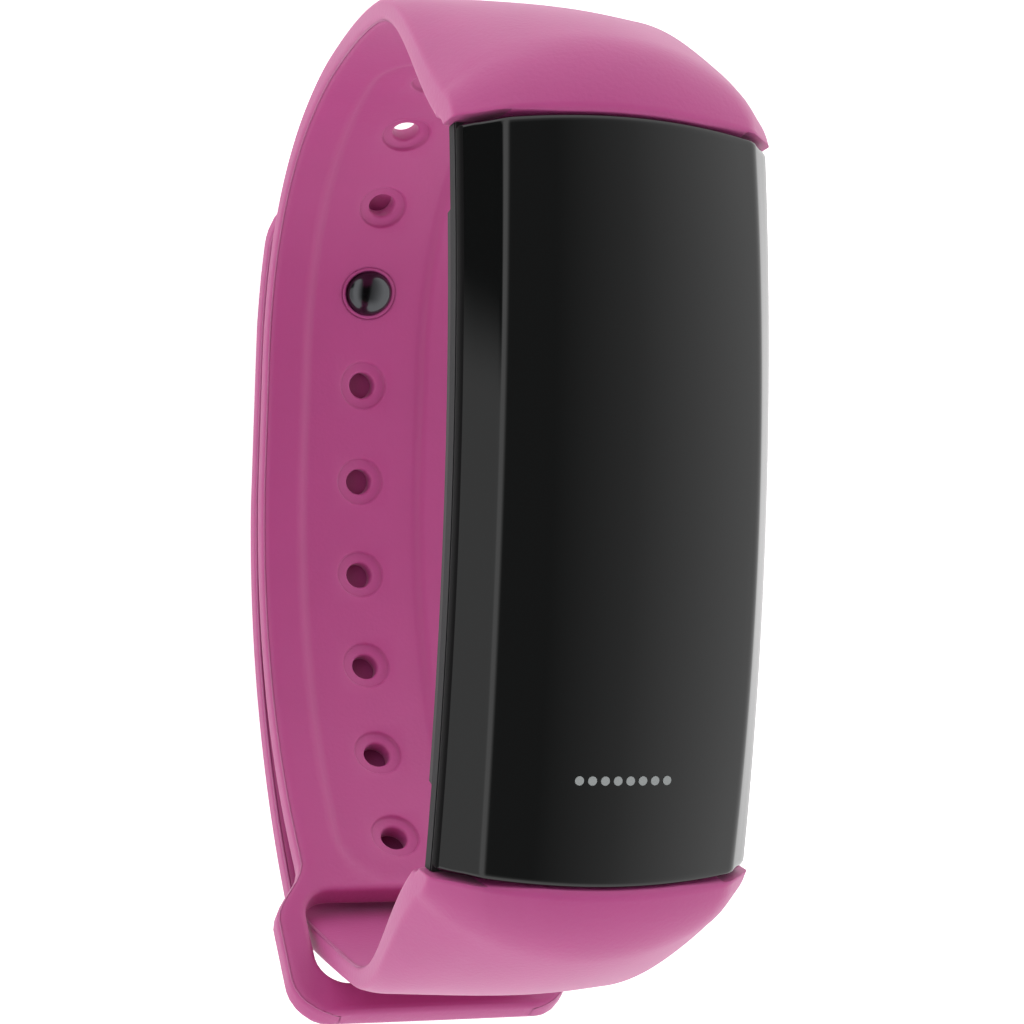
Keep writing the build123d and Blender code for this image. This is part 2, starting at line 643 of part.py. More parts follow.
with BuildPart() as touch_pad:
    with BuildSketch(MODULE.offset(-DISPLAY_TOP - 0.4)):
        with Locations((0, TOUCH_KEY_Y - 0.8)):
            RectangleRounded(6.0, 3.0, 0.5)
    extrude(amount=0.2)
touch_pad.part.label = "touch_pad"
export_step(touch_pad.part, "parts/touch_pad.step")

with BuildPart() as motor_can:
    with BuildSketch(MODULE.offset(-9.3)):
        with Locations((0, MOTOR_Y)):
            Circle(MOTOR_DIAMETER / 2)
    extrude(amount=2.5)
    with BuildSketch(MODULE.offset(-9.05)):
        with Locations((0, MOTOR_Y)):
            Circle(MOTOR_DIAMETER / 2 - 0.25)
    extrude(amount=3, mode=Mode.SUBTRACT)
motor_can.part.label = "motor_can"
export_step(motor_can.part, "parts/motor_can.step")

with BuildPart() as motor_plate:
    with BuildSketch(MODULE.offset(-6.8)):
        with Locations((0, MOTOR_Y)):
            Circle(MOTOR_DIAMETER / 2)
    extrude(amount=0.25)
motor_plate.part.label = "motor_plate"
export_step(motor_plate.part, "parts/motor_plate.step")

with BuildPart() as motor_shaft:
    with BuildSketch(MODULE.offset(-9.05)):
        with Locations((0, MOTOR_Y)):
            Circle(0.4)
    extrude(amount=2.25)
motor_shaft.part.label = "motor_shaft"
export_step(motor_shaft.part, "parts/motor_shaft.step")

with BuildPart() as motor_rotor:
    with BuildSketch(MODULE.offset(-8.7)):
        with Locations((0, MOTOR_Y)):
            Circle(3.4)
            with Locations((0, -2.5)):
                Rectangle(8, 5, mode=Mode.SUBTRACT)
            Circle(1.3)
            Circle(0.6, mode=Mode.SUBTRACT)
    extrude(amount=1.5)
motor_rotor.part.label = "motor_rotor"
export_step(motor_rotor.part, "parts/motor_rotor.step")

# ---- Touch key: a plain row of equal printed dots ----

DOTS = [(DOT_PITCH * (i - (DOT_COUNT - 1) / 2), 0) for i in range(DOT_COUNT)]
CROWN_RADIUS = (LENS_FLAT_HALF**2 + LENS_CROWN**2) / (2 * LENS_CROWN)
for i, (x, y) in enumerate(DOTS, start=1):
    lean = asin(x / CROWN_RADIUS)
    key_plane = arch_plane(TOUCH_KEY_Y + y)
    spot = key_plane.from_local_coords((x, -CROWN_RADIUS * (1 - cos(lean)), 0))
    out = key_plane.from_local_coords((sin(lean), cos(lean), 0)) - key_plane.origin
    with BuildPart() as touch_dot:
        with BuildSketch(Plane(origin=spot, z_dir=out).offset(-0.01)):
            Circle(DOT_DIAMETER / 2)
        extrude(amount=DOT_HEIGHT)
    touch_dot.part.label = f"touch_dot_{i}"
    export_step(touch_dot.part, f"parts/touch_dot_{i}.step")
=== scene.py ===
"""Looks of the fitness tracker band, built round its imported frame, in metres.

Every soft piece is a surface in strap coordinates: a distance along the strap's outer line, a place across
it and a height over that line. One function carries strap coordinates into the frame.
"""
import json
import math

import bmesh
import bpy
import numpy as np
from mathutils import Matrix, Vector


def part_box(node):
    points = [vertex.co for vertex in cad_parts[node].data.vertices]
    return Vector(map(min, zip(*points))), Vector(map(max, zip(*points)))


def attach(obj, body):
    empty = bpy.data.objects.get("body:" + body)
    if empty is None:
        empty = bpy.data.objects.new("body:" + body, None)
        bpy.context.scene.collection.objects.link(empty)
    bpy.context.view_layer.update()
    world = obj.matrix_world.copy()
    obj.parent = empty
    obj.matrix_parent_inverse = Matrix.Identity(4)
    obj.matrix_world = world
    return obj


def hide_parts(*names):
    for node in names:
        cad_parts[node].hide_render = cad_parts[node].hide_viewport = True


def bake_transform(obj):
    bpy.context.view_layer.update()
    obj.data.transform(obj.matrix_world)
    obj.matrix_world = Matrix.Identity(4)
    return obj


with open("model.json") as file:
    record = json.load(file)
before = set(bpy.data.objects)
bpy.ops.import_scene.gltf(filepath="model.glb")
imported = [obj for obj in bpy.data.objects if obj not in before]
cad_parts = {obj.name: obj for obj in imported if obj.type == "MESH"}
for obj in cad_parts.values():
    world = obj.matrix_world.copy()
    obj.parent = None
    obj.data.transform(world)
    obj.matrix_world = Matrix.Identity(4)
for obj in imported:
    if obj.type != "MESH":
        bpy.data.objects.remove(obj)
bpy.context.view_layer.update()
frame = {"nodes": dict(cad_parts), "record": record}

MM = 0.001
TENT_STRENGTH = 1.5
FLOOR_HALF_M = 1.5
FLOOR_GAP_M = 0.0002
PATCH_MM = 6
GRAIN_DEPTH_MM = 0.03

# ---- Sizes in millimetres, as in the design ----

LENS_HALF_LENGTH = 22.7
LENS_FLAT_HALF = 8.1
LENS_HALF_WIDTH = 10.05
LENS_BOW = 0.26
LENS_CROWN = 1.05
LENS_EDGE_DROP = 3.35
LENS_RIM = 4.3
LENS_END_BOW = 0.4
ARCH_RADIUS = 152.0
SEAM_GAP = 0.12
SEAM_BLEND = 8
HEEL_LENGTH = 1.5
HEEL_HALF = 8.4
TONGUE_START = 18.0
TONGUE_LOW = 8.1
TONGUE_HIGH = 5.65
HEEL_HIGH = 4.5

STRAP_THICKNESS = 1.9
TAIL_THICKNESS = 1.8
STRAP_HALF_WIDTH = 7.7
SHOULDER_HALF_WIDTH = 10.4
SHOULDER_THICKNESS = 5.5
SHOULDER_DROP = 3.4
SHOULDER_SWELL = 0.9
UPPER_NARROW_END = 46.0
LOWER_NARROW_END = 36.0

# Loop: a leg of the strap's outer line is a turn in degrees and a radius, or no turn and a length
TAIL_GAP = 0.1
UPPER_SHOULDER = [(55.1, 7.2), (40.5, 45.5)]
CORNER_TURN, CORNER_RADIUS = 62.4, 20.1
BACK_RADIUS = 26.0
REST_LENGTH = 8.0
RISE = (43.0, 40.1)
LOWER_SHOULDER = (54.0, 6.6)
LOWER_SIDE_TURN = 24.1
LOWER_FLANK = (14.7, 69.5)
LOWER_BEND = (37.7, 5.0)
TAIL_LIFT_TURN = 17.7
TAIL_BACK_RADIUS = 44.9
BASE_LEG_COUNT = 4

HOLE_COUNT = 10
HOLE_PITCH = 7.38
FIRST_HOLE = 39.1
LATCHED_HOLE = 3
HOLE_RADIUS = 0.975
RECESS_RADIUS = 1.8
RECESS_DEPTH = 0.3
LATCH_RADIUS = 2.1
GROOVE_HALF_WIDTH = 4.6
GROOVE_DEPTH = 0.3
GROOVE_SLOPE = 0.6
STUD_HEAD_RADIUS = 1.75
STUD_HEAD_HEIGHT = 1.1
STUD_NECK_RADIUS = 0.8
STUD_GAP = 0.1
STUD_EDGE = 0.25
CAP_DEPTH = 0.5
TIP_LENGTH = 8.4
TIP_ROUND = 5.5

RING_LENGTH = 15.2
RING_HALF_WIDTH = 10.2
RING_OPENING_HALF = 8.1
RING_OPENING_START = 5.2
RING_OPENING_END = 12.8
RING_OPENING_ROUND = 2.2
RING_ROUND = 3.0
RING_FLARE_START = 2.6
RING_FLARE_LENGTH = 5.0
RING_PATCH = 0.9

lens_low, lens_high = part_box("lens")
MODULE_Y = (lens_low.y + lens_high.y) / 2 / MM
TOP_Z = lens_high.z / MM
SEAM_SLOPE = math.asin(LENS_HALF_LENGTH / ARCH_RADIUS)
SEAM_DROP = ARCH_RADIUS * (1 - math.cos(SEAM_SLOPE))
LENS_ARC = SEAM_SLOPE * ARCH_RADIUS


# ---- Strap coordinates ----


def leg_length(leg):
    """Length of one leg: turn times radius, or the length itself."""
    turn, size = leg
    return size if turn == 0 else math.radians(turn) * size


def leg_step(heading, turn, size):
    """Advance, fall and new heading in degrees after one leg that starts at a heading."""
    start, end = math.radians(heading), math.radians(heading + turn)
    if turn == 0:
        return size * math.cos(start), -size * math.sin(start), heading
    return size * (math.sin(end) - math.sin(start)), size * (math.cos(end) - math.cos(start)), heading + turn


def walk(legs):
    """Reach, height and heading at the end of legs that start at the seam."""
    y, z, heading = LENS_HALF_LENGTH, -SEAM_DROP, math.degrees(SEAM_SLOPE)
    for leg in legs:
        dy, dz, heading = leg_step(heading, *leg)
        y, z = y + dy, z + dz
    return y, z, heading


def closed_loop():
    """Legs of both straps. Two radii of the lower one come from a pair of linear equations, so that its tail
    arrives at the near end of the flat, a gap under the upper strap."""
    lead = UPPER_SHOULDER + [(CORNER_TURN, CORNER_RADIUS)]
    back_turn = 180 - walk(lead)[2]
    flat_y, flat_z, _ = walk(lead + [(back_turn, BACK_RADIUS)])
    offset = TAIL_THICKNESS + TAIL_GAP
    y, z, heading = walk([LOWER_SHOULDER])
    side = leg_step(heading, LOWER_SIDE_TURN, 1.0)
    flank = leg_step(side[2], *LOWER_FLANK)
    bend = leg_step(flank[2], *LOWER_BEND)
    lift = leg_step(bend[2], TAIL_LIFT_TURN, 1.0)
    back = leg_step(lift[2], 180 - lift[2], TAIL_BACK_RADIUS)
    want_y = REST_LENGTH - flat_y - y - flank[0] - bend[0] - back[0]
    want_z = flat_z - offset - z - flank[1] - bend[1] - back[1]
    side_radius, lift_radius = np.linalg.solve([[side[0], lift[0]], [side[1], lift[1]]], [want_y, want_z])
    flat = (0, REST_LENGTH)
    upper = lead + [(back_turn, BACK_RADIUS), flat, RISE, (0, RING_LENGTH)]
    lower = [LOWER_SHOULDER, (LOWER_SIDE_TURN, float(side_radius)), LOWER_FLANK, LOWER_BEND]
    lower += [(TAIL_LIFT_TURN, float(lift_radius)), (180 - lift[2], TAIL_BACK_RADIUS), flat]
    return upper, lower + [(back_turn, BACK_RADIUS + offset), (CORNER_TURN, CORNER_RADIUS + offset)]


UPPER_LEGS, LOWER_LEGS = closed_loop()


def outer_line(legs, distance):
    """Outward reach, height under the top and heading at each distance.

    The line is arcs and straight runs joined end to end, each one tangent to the last.
    """
    y, z, heading = LENS_HALF_LENGTH, -SEAM_DROP, SEAM_SLOPE
    reach, height, angle = (np.full(distance.shape, start_value) for start_value in (y, z, heading))
    start = 0.0
    for turn, size in legs:
        length = leg_length((turn, size))
        for run, target in ((np.maximum(distance - start, 0), "points"), (np.array(length), "end")):
            run = np.minimum(run, length)
            if turn == 0:
                new_angle = heading + 0 * run
                new_y = y + run * math.cos(heading)
                new_z = z - run * math.sin(heading)
            else:
                new_angle = heading + run / size
                new_y = y + size * (np.sin(new_angle) - math.sin(heading))
                new_z = z + size * (np.cos(new_angle) - math.cos(heading))
            if target == "points":
                on = distance >= start
                reach, height = np.where(on, new_y, reach), np.where(on, new_z, height)
                angle = np.where(on, new_angle, angle)
            else:
                y, z, heading = float(new_y), float(new_z), float(new_angle)
        start += length
    return reach, height, angle


def on_strap(side, legs):
    """Carrier from strap coordinates to the frame. side is 1 for the upper strap and -1 for the lower."""

    def carry(distance, across, up):
        distance, across, up = np.broadcast_arrays(*(np.asarray(v, float) for v in (distance, across, up)))
        reach, height, angle = outer_line(legs, distance)
        y = side * (reach + up * np.sin(angle)) + MODULE_Y
        z = height + up * np.cos(angle) + TOP_Z
        return np.stack([across, y, z], -1) * MM

    return carry


def on_arch(distance, across, up):
    """Carrier from the module's arch to the frame: distance runs from the middle along a circle."""
    distance, across, up = np.broadcast_arrays(*(np.asarray(v, float) for v in (distance, across, up)))
    angle = distance / ARCH_RADIUS
    y = MODULE_Y + (ARCH_RADIUS + up) * np.sin(angle)
    z = TOP_Z - ARCH_RADIUS + (ARCH_RADIUS + up) * np.cos(angle)
    return np.stack([across, y, z], -1) * MM


def fade(distance, start, end):
    """Falls from 1 at start to 0 at end as half a cosine wave."""
    share = np.clip((distance - start) / (end - start), 0, 1)
    return 0.5 + 0.5 * np.cos(math.pi * share)


def step_up(value):
    """Rises from 0 to 1 as value does, level at both ends."""
    share = np.clip(value, 0, 1)
    return share * share * (3 - 2 * share)


# ---- Cross-sections ----

MIDDLE_HALF = 2.5
MIDDLE_CELLS = 7
MARGIN_CELLS = 14


def turn_corner(before, corner, after, count):
    """Columns of a quadratic curve from one point to the next that is tangent to both sides of the corner."""
    share = (np.arange(1, count + 1) / count)[:, None, None]
    return before * (1 - share) ** 2 + corner * 2 * share * (1 - share) + after * share**2


def straight(before, after, count):
    """Columns evenly along a straight side, without its first point."""
    share = (np.arange(1, count + 1) / count)[:, None, None]
    return before * (1 - share) + after * share


def toward(start, end, distance):
    """Point at a distance from start on the way to end."""
    gap = end - start
    return start + gap / np.linalg.norm(gap, axis=-1, keepdims=True) * distance


def section_columns(shape):
    """Closed section of every row, as an array of columns by rows by (across, up).

    The top follows a parabola of the crown. The crease, the two edges and the foot are quadratic curves
    tangent to their sides. The underside is a shallow parabola. The left half mirrors the right one.
    """
    half, flat, crown, drop = shape["half"], shape["flat"], shape["crown"], shape["drop"]
    crease, edge = shape["crease"][:, None], shape["edge"]
    zero = np.zeros_like(half)

    def point(across, up):
        return np.stack([across + zero, up + zero], -1)

    middle = np.linspace(0, MIDDLE_HALF, MIDDLE_CELLS + 1)[:, None]
    top_end = flat - crease[:, 0]
    margin_share = np.linspace(0, 1, MARGIN_CELLS + 1)[1:, None]
    margin = MIDDLE_HALF + (top_end - MIDDLE_HALF) * margin_share
    top_x = np.concatenate([middle + zero, margin])
    top = np.stack([top_x, -crown * (top_x / flat) ** 2], -1)
    corner = point(flat, -crown * (1 - (crease[:, 0] / flat) ** 2))
    upper_edge = point(half, -drop)
    lower_edge = point(half, -drop - shape["side"])
    foot = point(shape["foot"], -shape["bottom"])
    bevel_share = 0.45 * np.hypot(half - flat, drop - crown)[:, None]
    after_crease = toward(corner, upper_edge, np.minimum(crease, bevel_share))
    first = toward(upper_edge, corner, edge)
    second = toward(upper_edge, lower_edge, edge)
    third = toward(lower_edge, upper_edge, edge)
    fourth = toward(lower_edge, foot, edge)
    fifth = toward(foot, lower_edge, edge)
    foot_end = point(shape["foot"] - 2 * edge, -shape["bottom"])
    sides = [
        turn_corner(top[-1], corner, after_crease, 6),
        straight(after_crease, first, 3),
        turn_corner(first, upper_edge, second, 4),
        straight(second, third, 2),
        turn_corner(third, lower_edge, fourth, 4),
        straight(fourth, fifth, 2),
        turn_corner(fifth, foot, foot_end, 3),
    ]
    share = np.linspace(0, 1, MARGIN_CELLS + 1)[:-1, None]
    groove_margin = MIDDLE_HALF + (foot_end[:, 0] - MIDDLE_HALF) * (1 - share)
    under_x = np.concatenate([groove_margin, middle[::-1] + zero])[1:]
    lift = shape["bottom"] - shape["thickness"]
    under = np.stack([under_x, -shape["thickness"] - lift * (under_x / foot_end[:, 0]) ** 2], -1)
    right = np.concatenate([top, *sides, under])
    left = right[-2:0:-1] * np.array([-1.0, 1.0])
    return np.concatenate([right, left])


TOP_COLUMNS = MIDDLE_CELLS + MARGIN_CELLS
SIDE_COLUMNS = 24
RIGHT_COLUMNS = 2 * TOP_COLUMNS + SIDE_COLUMNS + 1
ALL_COLUMNS = 2 * RIGHT_COLUMNS - 2
UNDER_MIDDLE = RIGHT_COLUMNS - 1
END_ROUND = 0.5
MERGE_MM = 0.0005
ROUND_STEPS = 48
UPPER_STEP = 0.62
LOWER_STEP = 0.7


def strap_shape(distance, slim, narrow_end, trim):
    """Section sizes along a strap: a broad, arched shoulder at the module fades into a slim flat band.

    trim narrows each side where the strap ends in a rounded tip. It is negative at the ring, which is wider.
    """
    bulge = fade(distance, 5, 26)
    swell = SHOULDER_SWELL * np.clip(distance / 6, 0, 1)
    half = STRAP_HALF_WIDTH + (SHOULDER_HALF_WIDTH - STRAP_HALF_WIDTH) * fade(distance, 6, narrow_end)
    half = half - trim
    drop = 0.25 + (SHOULDER_DROP + swell - 0.25) * bulge
    crown = 0.04 + (LENS_CROWN + swell - 0.04) * bulge
    flat = LENS_FLAT_HALF + (STRAP_HALF_WIDTH - 0.3 - LENS_FLAT_HALF) * (1 - fade(distance, 10, narrow_end))
    flat = np.minimum(flat - trim, half - 0.3)
    thickness = slim + (SHOULDER_THICKNESS - slim) * fade(distance, 0, 24)
    side = 1.25 + 0.6 * bulge
    foot = half - 0.3 - 1.5 * bulge
    bottom = np.maximum(thickness - 0.05, drop + side + 0.22)
    crease = 0.5 + 2.6 * step_up(distance / 9) * bulge - 0.3 * (1 - bulge)
    return {
        "half": half,
        "flat": flat,
        "crown": crown,
        "drop": drop,
        "side": side,
        "foot": foot,
        "bottom": bottom,
        "thickness": np.maximum(thickness, bottom),
        "crease": crease,
        "edge": 0.3,
    }


# ---- Meshes ----


class Shell:
    """Vertices and faces of one piece while it is put together."""

    def __init__(self):
        self.points, self.faces, self.size = [], [], 0

    def add_points(self, points):
        """Adds an array of points and gives their numbers, in the array's own layout."""
        flat = points.reshape(-1, 3)
        numbers = np.arange(self.size, self.size + len(flat)).reshape(points.shape[:-1])
        self.points.append(flat)
        self.size += len(flat)
        return numbers

    def add_quads(self, corners):
        """Adds faces from an array whose last axis holds four point numbers."""
        self.faces.extend(corners.reshape(-1, 4).tolist())

    def join_rows(self, rows, closed=False):
        """Quads between neighbouring rows of numbers; closed joins each row's end to its start."""
        ahead = np.roll(rows, -1, axis=1) if closed else rows[:, 1:]
        here = rows if closed else rows[:, :-1]
        self.add_quads(np.stack([here[:-1], ahead[:-1], ahead[1:], here[1:]], -1))

    def finish(self, name, body, material, nodes=()):
        """Makes the mesh, drops unused points, gives it its material and puts it on its body."""
        points = np.concatenate(self.points)
        used = np.zeros(len(points), bool)
        used[np.concatenate([np.asarray(face) for face in self.faces])] = True
        renumber = np.cumsum(used) - 1
        faces = [renumber[np.asarray(face)].tolist() for face in self.faces]
        mesh = bpy.data.meshes.new(name)
        mesh.from_pydata(points[used], [], faces)
        shell = bmesh.new()
        shell.from_mesh(mesh)
        bmesh.ops.remove_doubles(shell, verts=shell.verts, dist=MERGE_MM * MM)
        bmesh.ops.recalc_face_normals(shell, faces=shell.faces)
        shell.to_mesh(mesh)
        shell.free()
        corners = np.zeros(len(mesh.polygons), np.int32)
        mesh.polygons.foreach_get("loop_total", corners)
        mesh.polygons.foreach_set("use_smooth", corners < 5)
        mesh.validate()
        mesh.update()
        piece = bpy.data.objects.new(name, mesh)
        bpy.context.scene.collection.objects.link(piece)
        mesh.materials.append(material)
        if body:
            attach(piece, body)
        if nodes:
            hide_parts(*nodes)
        return piece


def sheet_loop(first_row, last_row, half_columns):
    """Row and place numbers in a walk round a block of the grid; places count from the middle column."""
    rows, places = np.arange(first_row, last_row), np.arange(-half_columns, half_columns)
    walk_rows = [np.full(len(places), first_row), rows, np.full(len(places), last_row), rows[::-1] + 1]
    walk_places = [places, np.full(len(rows), half_columns), -places, np.full(len(rows), -half_columns)]
    return np.concatenate(walk_rows), np.concatenate(walk_places)


def even_rows(fixed, step):
    """Row distances: every fixed one, and even steps between them."""
    rows = [np.array(fixed[:1])]
    for start, end in zip(fixed[:-1], fixed[1:]):
        count = max(1, round((end - start) / step))
        rows.append(start + (end - start) * np.arange(1, count + 1) / count)
    return np.concatenate(rows)


def round_rows(end, radius, turns):
    """Row distances at the given turns, in degrees, of a quarter circle that meets an end."""
    return [end - radius * (1 - math.sin(math.radians(turn))) for turn in turns]


def groove_rise(distance, across, start, end):
    """How far the underside rises into the groove, whose outline is a long slot with round ends."""
    beyond = np.maximum(np.maximum(start - distance, distance - end), 0)
    inside = GROOVE_HALF_WIDTH - np.hypot(across, beyond)
    return GROOVE_DEPTH * step_up(inside / GROOVE_SLOPE + 0.5)


def squeeze_end(columns, distance, end, thickness):
    """Thins the sections near a rounded end, where the two faces meet the end in quarter circles."""
    past = np.clip(1 - (end - distance) / END_ROUND, 0, 1)
    squeeze = 1 - (1 - np.sqrt(1 - past**2)) * 2 * END_ROUND / thickness
    columns[..., 1] = (columns[..., 1] + thickness / 2) * squeeze - thickness / 2


def tube(shell, carry, distance, columns, blocks=(), shift=None):
    """Closed tube through every row's section, left open where a block is cut out of its top and underside.

    blocks are (first row, last row, half columns). Gives the numbers of its points, by rows and columns.
    """
    along = distance[None, :] + (0 if shift is None else shift)
    numbers = shell.add_points(carry(along, columns[..., 0], columns[..., 1])).T
    keep = np.ones((len(distance) - 1, ALL_COLUMNS), bool)
    for first_row, last_row, half_columns in blocks:
        places = np.arange(-half_columns, half_columns)
        keep[first_row:last_row, places] = False
        keep[first_row:last_row, UNDER_MIDDLE - 1 - places] = False
    ahead = np.roll(numbers, -1, axis=1)
    quads = np.stack([numbers[:-1], ahead[:-1], ahead[1:], numbers[1:]], -1)
    shell.add_quads(quads[keep])
    return numbers


def cap(shell, row, first=False):
    """Closes a tube's end: a strip of quads between its top and its underside, and one face on each side."""
    places = np.arange(-TOP_COLUMNS, TOP_COLUMNS)
    strip = [row[places], row[places + 1], row[UNDER_MIDDLE - places - 1], row[UNDER_MIDDLE - places]]
    quads = np.stack(strip, -1)
    right = row[TOP_COLUMNS : UNDER_MIDDLE - TOP_COLUMNS + 1]
    left = row[UNDER_MIDDLE + TOP_COLUMNS : ALL_COLUMNS - TOP_COLUMNS + 1]
    if first:
        quads, right, left = quads[:, ::-1], right[::-1], left[::-1]
    shell.add_quads(quads)
    shell.faces.extend([right.tolist(), left.tolist()])


def line_with_rings(shell, carry, top_loop, under_loop, rings):
    """Joins a loop on the top to one on the underside through rings of (distance, across, up) points."""
    numbers = [top_loop]
    numbers += [shell.add_points(carry(ring[..., 0], ring[..., 1], ring[..., 2])) for ring in rings]
    shell.join_rows(np.stack(numbers + [under_loop]), closed=True)


def round_profile(shell, carry, center, profile, steps=ROUND_STEPS):
    """Surface of revolution about the strap's normal at a distance. profile is its (radius, up) points."""
    turns = np.arange(steps) * 2 * math.pi / steps
    radius, up = (np.asarray(column, float)[:, None] for column in zip(*profile))
    rows = shell.add_points(carry(center + radius * np.sin(turns), radius * np.cos(turns), up + 0 * turns))
    shell.join_rows(rows, closed=True)
    return rows


def close_pole(shell, carry, center, up, ring, flip=False):
    """Fan of triangles from a pole to a ring."""
    pole = shell.add_points(carry(center, 0.0, up))
    ahead = np.roll(ring, -1)
    fan = np.stack([np.full(len(ring), pole), ahead, ring], -1)
    shell.faces.extend((fan[:, ::-1] if flip else fan).tolist())


def arc_profile(center_radius, center_up, size, start, end, count):
    """Points of a circular arc in a round profile, between two angles in degrees."""
    turns = np.radians(np.linspace(start, end, count))
    return list(zip(center_radius + size * np.cos(turns), center_up + size * np.sin(turns)))


# ---- Materials ----


def linear(code):
    """Linear colour of an sRGB hex value."""
    values = [int(code[i : i + 2], 16) / 255 for i in (1, 3, 5)]
    return (*[v / 12.92 if v <= 0.04045 else ((v + 0.055) / 1.055) ** 2.4 for v in values], 1.0)


def add_node(tree, kind, inputs=None, **settings):
    """Adds a node, sets its properties, and gives each named input its value or links it to an output."""
    node = tree.nodes.new(kind)
    for name, value in settings.items():
        setattr(node, name, value)
    for name, value in (inputs or {}).items():
        if isinstance(value, bpy.types.NodeSocket):
            tree.links.new(value, node.inputs[name])
        else:
            node.inputs[name].default_value = value
    return node


def surface(name, color, grain_mm, grain_strength, mottle=0.06, **shader):
    """A material whose colour varies a little in soft patches, with a grain of the given size in its bump."""
    material = bpy.data.materials.new(name)
    material.use_nodes = True
    tree = material.node_tree
    tree.nodes.clear()
    place = add_node(tree, "ShaderNodeTexCoord").outputs["Object"]
    patch_inputs = {"Vector": place, "Scale": 1 / (PATCH_MM * MM), "Detail": 3.0}
    patches = add_node(tree, "ShaderNodeTexNoise", patch_inputs)
    base = linear(color)
    darker = tuple(v * (1 - mottle) for v in base[:3]) + (1.0,)
    lighter = tuple(min(1, v * (1 + mottle)) for v in base[:3]) + (1.0,)
    tint = add_node(tree, "ShaderNodeMix", {"Factor": patches.outputs["Fac"]}, data_type="RGBA")
    tint.inputs[6].default_value, tint.inputs[7].default_value = darker, lighter
    grain_inputs = {"Vector": place, "Scale": 1 / (grain_mm * MM), "Detail": 2.0}
    grain = add_node(tree, "ShaderNodeTexNoise", grain_inputs)
    depth = GRAIN_DEPTH_MM * MM
    bump_inputs = {"Height": grain.outputs["Fac"], "Strength": grain_strength, "Distance": depth}
    bump = add_node(tree, "ShaderNodeBump", bump_inputs)
    inputs = {name.replace("_", " "): value for name, value in shader.items()}
    inputs.update({"Base Color": tint.outputs[2], "Normal": bump.outputs["Normal"]})
    principled = add_node(tree, "ShaderNodeBsdfPrincipled", inputs)
    add_node(tree, "ShaderNodeOutputMaterial", {"Surface": principled.outputs["BSDF"]})
    return material


# Thermoplastic polyurethane, injection moulded in a spark-eroded mould: matt, and a little light goes through
tpu = surface("moulded_tpu_pink", "#AE4281", 0.3, 0.55, Roughness=0.5, IOR=1.48, Subsurface_Weight=0.2)
tpu_shader = tpu.node_tree.nodes["Principled BSDF"]
tpu_shader.inputs["Subsurface Radius"].default_value = (1.0, 0.35, 0.55)
tpu_shader.inputs["Subsurface Scale"].default_value = 1.2 * MM
tpu_shader.inputs["Sheen Weight"].default_value = 0.12
tpu_shader.inputs["Sheen Roughness"].default_value = 0.4

# Back-painted acrylic with a hard coat, thermoformed: deep black with clear mirror-like reflections
lens_acrylic = surface("hard_coated_acrylic_black", "#050606", 2.5, 0.02, Roughness=0.06, IOR=1.5)

# The same acrylic, ground along its edge and inked: dull black line round the gloss
lens_edge_ink = surface("inked_acrylic_edge", "#070607", 0.3, 0.2, Roughness=0.75, Specular_IOR_Level=0.1)

# Brass with a black-nickel finish, pressed and tumbled: dark mirror metal
stud_metal = surface("black_nickel_pressed", "#4A4B4D", 0.5, 0.05, Metallic=1.0, Roughness=0.16)

# Screen-printed ink on the acrylic: thin, matt, mid grey
dot_ink = surface("screen_printed_ink_grey", "#8F9393", 0.15, 0.1, Roughness=0.6)

# Glass-filled nylon, moulded: near black with a fine matt grain
case_nylon = surface("moulded_nylon_black", "#100E12", 0.3, 0.3, Roughness=0.6, Specular_IOR_Level=0.25)

# Finishes inside the module and under it, mostly out of sight. Most metals have soft bright reflections, and
# sintered tungsten is duller. Rubber and moulded chips are matt. Solder mask and polyimide film are satin.
# Cover glass, the smoked window and cast resin are glossy.
INNER_FINISHES = {
    "gasket_rubber": ("nitrile_rubber_black", "#151515", 0.4, 0.2, dict(Roughness=0.8)),
    "window_plastic": ("polycarbonate_smoked", "#101013", 1.5, 0.02, dict(Roughness=0.08, IOR=1.58)),
    "pin_steel": ("ground_steel_pin", "#B9BABC", 0.1, 0.15, dict(Metallic=1.0, Roughness=0.3)),
    "motor_steel": ("drawn_steel_can", "#AEB0B2", 0.2, 0.1, dict(Metallic=1.0, Roughness=0.32)),
    "rotor_metal": ("sintered_tungsten", "#6C6D70", 0.08, 0.4, dict(Metallic=1.0, Roughness=0.5)),
    "battery_foil": ("aluminium_laminate_pouch", "#C4C6CA", 0.8, 0.3, dict(Metallic=1.0, Roughness=0.38)),
    "board_laminate": ("solder_mask_green", "#1C5A32", 0.5, 0.1, dict(Roughness=0.35)),
    "chip_resin": ("moulded_epoxy_chip", "#1B1B1D", 0.1, 0.3, dict(Roughness=0.6)),
    "led_resin": ("cast_epoxy_led", "#BFE6B8", 0.6, 0.02, dict(Roughness=0.15, IOR=1.53)),
    "contact_gold": ("gold_plated_contact", "#E0B862", 0.15, 0.08, dict(Metallic=1.0, Roughness=0.22)),
    "display_panel": ("display_cover_glass", "#0C0C10", 2.0, 0.01, dict(Roughness=0.05, IOR=1.52)),
    "flex_film": ("polyimide_film", "#B8712A", 0.5, 0.05, dict(Roughness=0.3)),
    "antenna_brass": ("stamped_brass_strip", "#C9A35A", 0.2, 0.1, dict(Metallic=1.0, Roughness=0.3)),
}
finishes = {
    "strap_silicone": tpu,
    "stud_steel": stud_metal,
    "lens_black": lens_acrylic,
    "case_plastic": case_nylon,
    "dot_print": dot_ink,
}
for slot_name, (material_name, color, grain_mm, strength, shader) in INNER_FINISHES.items():
    finishes[slot_name] = surface(material_name, color, grain_mm, strength, **shader)

